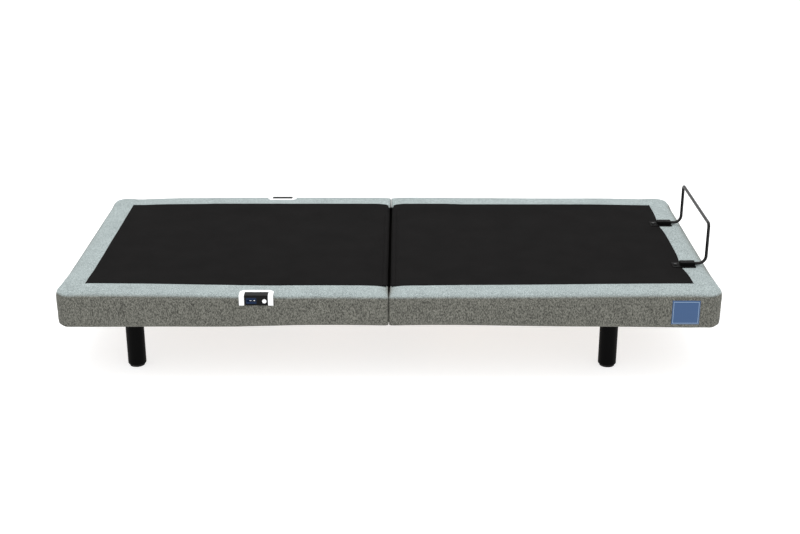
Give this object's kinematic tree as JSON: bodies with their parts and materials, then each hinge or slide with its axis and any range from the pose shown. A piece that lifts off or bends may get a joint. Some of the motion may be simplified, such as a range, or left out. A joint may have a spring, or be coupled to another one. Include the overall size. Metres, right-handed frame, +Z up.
{
  "type": "adjustable bed base",
  "caption": "Upholstered adjustable bed base: head and foot halves hinge at mid-length over a motorised steel chassis on round legs, with side consoles and a mattress retainer bar.",
  "frame": {"origin": "on the floor, under the middle of the seam between the two halves", "axes": "+X to the foot end, +Y to the far long side, +Z up"},
  "size_m": [2.03, 0.973, 0.425],
  "materials": {
    "black_deck_fabric": "matte",
    "grey_fabric": "matte",
    "plywood": "matte",
    "black_steel": "satin",
    "zinc_steel": "satin",
    "screw_steel": "satin",
    "roller_nylon": "matte",
    "bearing_nylon": "matte",
    "bumper_rubber": "matte",
    "motor_plastic": "matte",
    "tube_aluminium": "satin",
    "leg_black": "satin",
    "white_plastic": "gloss",
    "housing_plastic": "satin",
    "port_plastic": "satin",
    "label_cloth": "matte"
  },
  "bodies": {
    "chassis": {"chassis_rails": "black_steel", "chassis_crossmembers": "black_steel", "head_motor_member": "black_steel", "foot_motor_member": "black_steel", "centre_plate_near": "black_steel", "centre_plate_far": "black_steel", "seam_guard": "black_steel", "hinge_bolts": "zinc_steel", "nylon_bearings": "bearing_nylon", "rest_bumpers": "bumper_rubber", "leg_head_near": "leg_black", "leg_head_far": "leg_black", "leg_foot_near": "leg_black", "leg_foot_far": "leg_black", "leg_glides": "bumper_rubber", "control_box": "motor_plastic", "mains_inlet": "motor_plastic"},
    "head_half": {"head_deck_board": "plywood", "head_deck_pad": "black_deck_fabric", "head_border": "grey_fabric", "head_apron": "plywood", "head_longerons": "black_steel", "head_crossbars": "black_steel", "head_roller_tracks": "zinc_steel", "console_surround_near": "white_plastic", "console_surround_far": "white_plastic", "console_housing_near": "housing_plastic", "console_housing_far": "housing_plastic", "usb_ports_near": "port_plastic", "usb_ports_far": "port_plastic"},
    "foot_half": {"foot_deck_board": "plywood", "foot_deck_pad": "black_deck_fabric", "foot_border": "grey_fabric", "foot_apron": "plywood", "foot_longerons": "black_steel", "foot_crossbars": "black_steel", "foot_roller_tracks": "zinc_steel", "bar_brackets": "black_steel", "bracket_screws": "screw_steel", "side_label": "label_cloth"},
    "near_button": {"console_button_near": "white_plastic"},
    "far_button": {"console_button_far": "white_plastic"},
    "bar": {"retainer_bar": "black_steel"},
    "head_arms": {"head_torque_tube": "black_steel", "head_lift_arms": "black_steel", "head_crank": "black_steel"},
    "head_motor_unit": {"head_motor": "motor_plastic", "head_motor_tube": "tube_aluminium"},
    "head_rod": {"head_push_rod": "zinc_steel"},
    "head_near_roller": {"head_roller_near": "roller_nylon"},
    "head_far_roller": {"head_roller_far": "roller_nylon"},
    "foot_arms": {"foot_torque_tube": "black_steel", "foot_lift_arms": "black_steel", "foot_crank": "black_steel"},
    "foot_motor_unit": {"foot_motor": "motor_plastic", "foot_motor_tube": "tube_aluminium"},
    "foot_rod": {"foot_push_rod": "zinc_steel"},
    "foot_near_roller": {"foot_roller_near": "roller_nylon"},
    "foot_far_roller": {"foot_roller_far": "roller_nylon"}
  },
  "joints": [
    {"name": "head_lift", "type": "hinge", "parent": "chassis", "child": "head_half", "pos_m": [-0.024, 0, 0.262], "axis": [0, 1, 0], "range_deg": [0, 60]},
    {"name": "foot_lift", "type": "hinge", "parent": "chassis", "child": "foot_half", "pos_m": [0.024, 0, 0.262], "axis": [0, -1, 0], "range_deg": [0, 40]},
    {"name": "head_arm_turn", "type": "hinge", "parent": "chassis", "child": "head_arms", "pos_m": [-0.022, 0, 0.22], "axis": [0, 1, 0], "range_deg": [0, 57]},
    {"name": "head_near_roller_spin", "type": "hinge", "parent": "head_arms", "child": "head_near_roller", "pos_m": [-0.42183, -0.3, 0.2317], "axis": [0, 1, 0], "continuous": true},
    {"name": "head_far_roller_spin", "type": "hinge", "parent": "head_arms", "child": "head_far_roller", "pos_m": [-0.42183, 0.3, 0.2317], "axis": [0, 1, 0], "continuous": true},
    {"name": "head_motor_swing", "type": "hinge", "parent": "chassis", "child": "head_motor_unit", "pos_m": [0.47, 0.06, 0.141], "axis": [0, 1, 0], "range_deg": [0, 1.58]},
    {"name": "head_rod_extend", "type": "slide", "parent": "head_motor_unit", "child": "head_rod", "axis": [-0.9998, 0, -0.0223], "range_m": [0, 0.0885]},
    {"name": "foot_arm_turn", "type": "hinge", "parent": "chassis", "child": "foot_arms", "pos_m": [0.022, 0, 0.22], "axis": [0, -1, 0], "range_deg": [0, 38.7]},
    {"name": "foot_near_roller_spin", "type": "hinge", "parent": "foot_arms", "child": "foot_near_roller", "pos_m": [0.42183, -0.3, 0.2317], "axis": [0, 1, 0], "continuous": true},
    {"name": "foot_far_roller_spin", "type": "hinge", "parent": "foot_arms", "child": "foot_far_roller", "pos_m": [0.42183, 0.3, 0.2317], "axis": [0, 1, 0], "continuous": true},
    {"name": "foot_motor_swing", "type": "hinge", "parent": "chassis", "child": "foot_motor_unit", "pos_m": [-0.47, -0.06, 0.141], "axis": [0, -1, 0], "range_deg": [0, 0.16]},
    {"name": "foot_rod_extend", "type": "slide", "parent": "foot_motor_unit", "child": "foot_rod", "axis": [0.9998, 0, -0.0223], "range_m": [0, 0.0628]},
    {"name": "near_button_press", "type": "slide", "parent": "head_half", "child": "near_button", "axis": [0, 1, 0], "range_m": [0, 0.0015], "stiffness_N_per_m": 600},
    {"name": "far_button_press", "type": "slide", "parent": "head_half", "child": "far_button", "axis": [0, -1, 0], "range_m": [0, 0.0015], "stiffness_N_per_m": 600},
    {"name": "bar_pull_out", "type": "slide", "parent": "foot_half", "child": "bar", "axis": [1, 0, 0], "range_m": [0, 0.03]}
  ],
  "couplings": [
    {"joint": "head_arm_turn", "follows": "head_lift", "ratio": 0.94572},
    {"joint": "head_motor_swing", "follows": "head_lift", "ratio": 0.024683},
    {"joint": "head_rod_extend", "follows": "head_lift", "m_per_rad": 0.083764},
    {"joint": "foot_arm_turn", "follows": "foot_lift", "ratio": 0.9602},
    {"joint": "foot_motor_swing", "follows": "foot_lift", "ratio": 0.00145},
    {"joint": "foot_rod_extend", "follows": "foot_lift", "m_per_rad": 0.088801}
  ]
}
